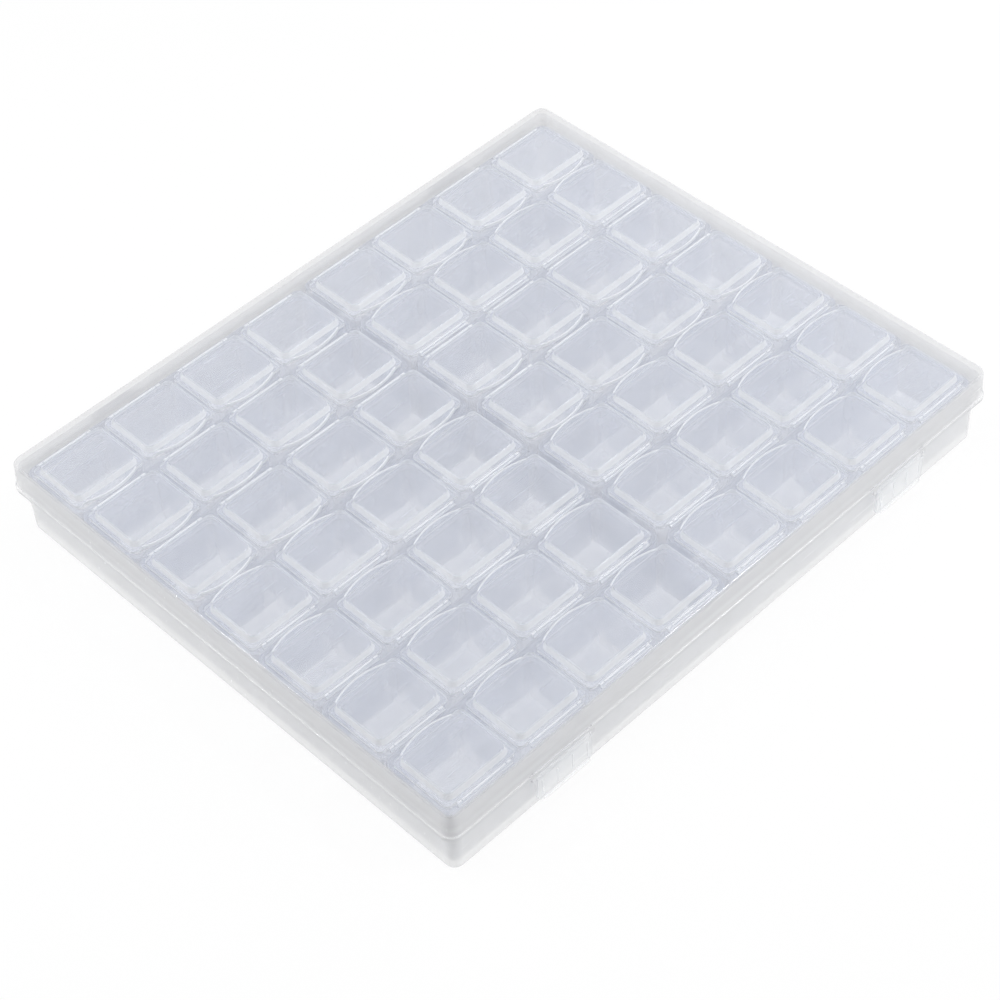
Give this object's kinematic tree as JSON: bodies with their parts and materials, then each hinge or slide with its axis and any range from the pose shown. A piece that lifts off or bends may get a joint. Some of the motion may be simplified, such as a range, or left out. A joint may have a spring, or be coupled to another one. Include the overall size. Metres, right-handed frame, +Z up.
{
  "type": "bead storage box",
  "caption": "Clear flat bead storage box with a hinged case lid, two front latches and loose strips of small lidded compartments.",
  "frame": {"origin": "middle of the base's flat underside", "axes": "+Z up, X along the long side, -Y the front with the latches, +Y the back with the case hinge"},
  "size_m": [0.212, 0.1819, 0.026],
  "materials": {
    "clear_case": "clear, glossy",
    "milky_strips": "translucent, slightly milky, semi-gloss"
  },
  "bodies": {
    "base": {"case_base": "clear_case", "strip_01": "milky_strips", "strip_02": "milky_strips", "strip_03": "milky_strips", "strip_04": "milky_strips", "strip_05": "milky_strips", "strip_06": "milky_strips", "strip_07": "milky_strips", "strip_08": "milky_strips", "strip_09": "milky_strips", "strip_10": "milky_strips", "strip_11": "milky_strips", "strip_12": "milky_strips", "strip_13": "milky_strips", "strip_14": "milky_strips"},
    "case_lid": {"case_lid": "clear_case"},
    "latch_left": {"latch_left": "clear_case"},
    "latch_right": {"latch_right": "clear_case"},
    "lids_01": {"strip_lids_01": "milky_strips"},
    "lids_02": {"strip_lids_02": "milky_strips"},
    "lids_03": {"strip_lids_03": "milky_strips"},
    "lids_04": {"strip_lids_04": "milky_strips"},
    "lids_05": {"strip_lids_05": "milky_strips"},
    "lids_06": {"strip_lids_06": "milky_strips"},
    "lids_07": {"strip_lids_07": "milky_strips"},
    "lids_08": {"strip_lids_08": "milky_strips"},
    "lids_09": {"strip_lids_09": "milky_strips"},
    "lids_10": {"strip_lids_10": "milky_strips"},
    "lids_11": {"strip_lids_11": "milky_strips"},
    "lids_12": {"strip_lids_12": "milky_strips"},
    "lids_13": {"strip_lids_13": "milky_strips"},
    "lids_14": {"strip_lids_14": "milky_strips"}
  },
  "joints": [
    {"name": "case_lid_hinge", "type": "hinge", "parent": "base", "child": "case_lid", "pos_m": [0, 0.0906, 0.0166], "axis": [-1, 0, 0], "range_deg": [0, 180]},
    {"name": "latch_left_hinge", "type": "hinge", "parent": "case_lid", "child": "latch_left", "pos_m": [-0.0665, -0.0875, 0.0152], "axis": [-1, 0, 0], "range_deg": [0, 75]},
    {"name": "latch_right_hinge", "type": "hinge", "parent": "case_lid", "child": "latch_right", "pos_m": [0.0665, -0.0875, 0.0152], "axis": [-1, 0, 0], "range_deg": [0, 75]},
    {"name": "lids_01_hinge", "type": "hinge", "parent": "base", "child": "lids_01", "pos_m": [-0.05145, -0.0838, 0.0216], "axis": [1, 0, 0], "range_deg": [0, 100]},
    {"name": "lids_02_hinge", "type": "hinge", "parent": "base", "child": "lids_02", "pos_m": [-0.05145, -0.0596, 0.0216], "axis": [1, 0, 0], "range_deg": [0, 100]},
    {"name": "lids_03_hinge", "type": "hinge", "parent": "base", "child": "lids_03", "pos_m": [-0.05145, -0.0354, 0.0216], "axis": [1, 0, 0], "range_deg": [0, 100]},
    {"name": "lids_04_hinge", "type": "hinge", "parent": "base", "child": "lids_04", "pos_m": [-0.05145, -0.0112, 0.0216], "axis": [1, 0, 0], "range_deg": [0, 100]},
    {"name": "lids_05_hinge", "type": "hinge", "parent": "base", "child": "lids_05", "pos_m": [-0.05145, 0.0354, 0.0216], "axis": [-1, 0, 0], "range_deg": [0, 100]},
    {"name": "lids_06_hinge", "type": "hinge", "parent": "base", "child": "lids_06", "pos_m": [-0.05145, 0.0596, 0.0216], "axis": [-1, 0, 0], "range_deg": [0, 100]},
    {"name": "lids_07_hinge", "type": "hinge", "parent": "base", "child": "lids_07", "pos_m": [-0.05145, 0.0838, 0.0216], "axis": [-1, 0, 0], "range_deg": [0, 100]},
    {"name": "lids_08_hinge", "type": "hinge", "parent": "base", "child": "lids_08", "pos_m": [0.05145, -0.0838, 0.0216], "axis": [1, 0, 0], "range_deg": [0, 100]},
    {"name": "lids_09_hinge", "type": "hinge", "parent": "base", "child": "lids_09", "pos_m": [0.05145, -0.0596, 0.0216], "axis": [1, 0, 0], "range_deg": [0, 100]},
    {"name": "lids_10_hinge", "type": "hinge", "parent": "base", "child": "lids_10", "pos_m": [0.05145, -0.0354, 0.0216], "axis": [1, 0, 0], "range_deg": [0, 100]},
    {"name": "lids_11_hinge", "type": "hinge", "parent": "base", "child": "lids_11", "pos_m": [0.05145, 0.0112, 0.0216], "axis": [-1, 0, 0], "range_deg": [0, 100]},
    {"name": "lids_12_hinge", "type": "hinge", "parent": "base", "child": "lids_12", "pos_m": [0.05145, 0.0354, 0.0216], "axis": [-1, 0, 0], "range_deg": [0, 54]},
    {"name": "lids_13_hinge", "type": "hinge", "parent": "base", "child": "lids_13", "pos_m": [0.05145, 0.0372, 0.0216], "axis": [1, 0, 0], "range_deg": [0, 54]},
    {"name": "lids_14_hinge", "type": "hinge", "parent": "base", "child": "lids_14", "pos_m": [0.05145, 0.0838, 0.0216], "axis": [-1, 0, 0], "range_deg": [0, 100]}
  ],
  "couplings": [
    {"joint": "lids_01_hinge", "follows": "case_lid_hinge", "ratio": 0.55556},
    {"joint": "lids_02_hinge", "follows": "case_lid_hinge", "ratio": 0.55556},
    {"joint": "lids_03_hinge", "follows": "case_lid_hinge", "ratio": 0.55556},
    {"joint": "lids_04_hinge", "follows": "case_lid_hinge", "ratio": 0.55556},
    {"joint": "lids_05_hinge", "follows": "case_lid_hinge", "ratio": 0.55556},
    {"joint": "lids_06_hinge", "follows": "case_lid_hinge", "ratio": 0.55556},
    {"joint": "lids_07_hinge", "follows": "case_lid_hinge", "ratio": 0.55556},
    {"joint": "lids_08_hinge", "follows": "case_lid_hinge", "ratio": 0.55556},
    {"joint": "lids_09_hinge", "follows": "case_lid_hinge", "ratio": 0.55556},
    {"joint": "lids_10_hinge", "follows": "case_lid_hinge", "ratio": 0.55556},
    {"joint": "lids_11_hinge", "follows": "case_lid_hinge", "ratio": 0.55556},
    {"joint": "lids_12_hinge", "follows": "case_lid_hinge", "ratio": 0.3},
    {"joint": "lids_13_hinge", "follows": "case_lid_hinge", "ratio": 0.3},
    {"joint": "lids_14_hinge", "follows": "case_lid_hinge", "ratio": 0.55556}
  ]
}
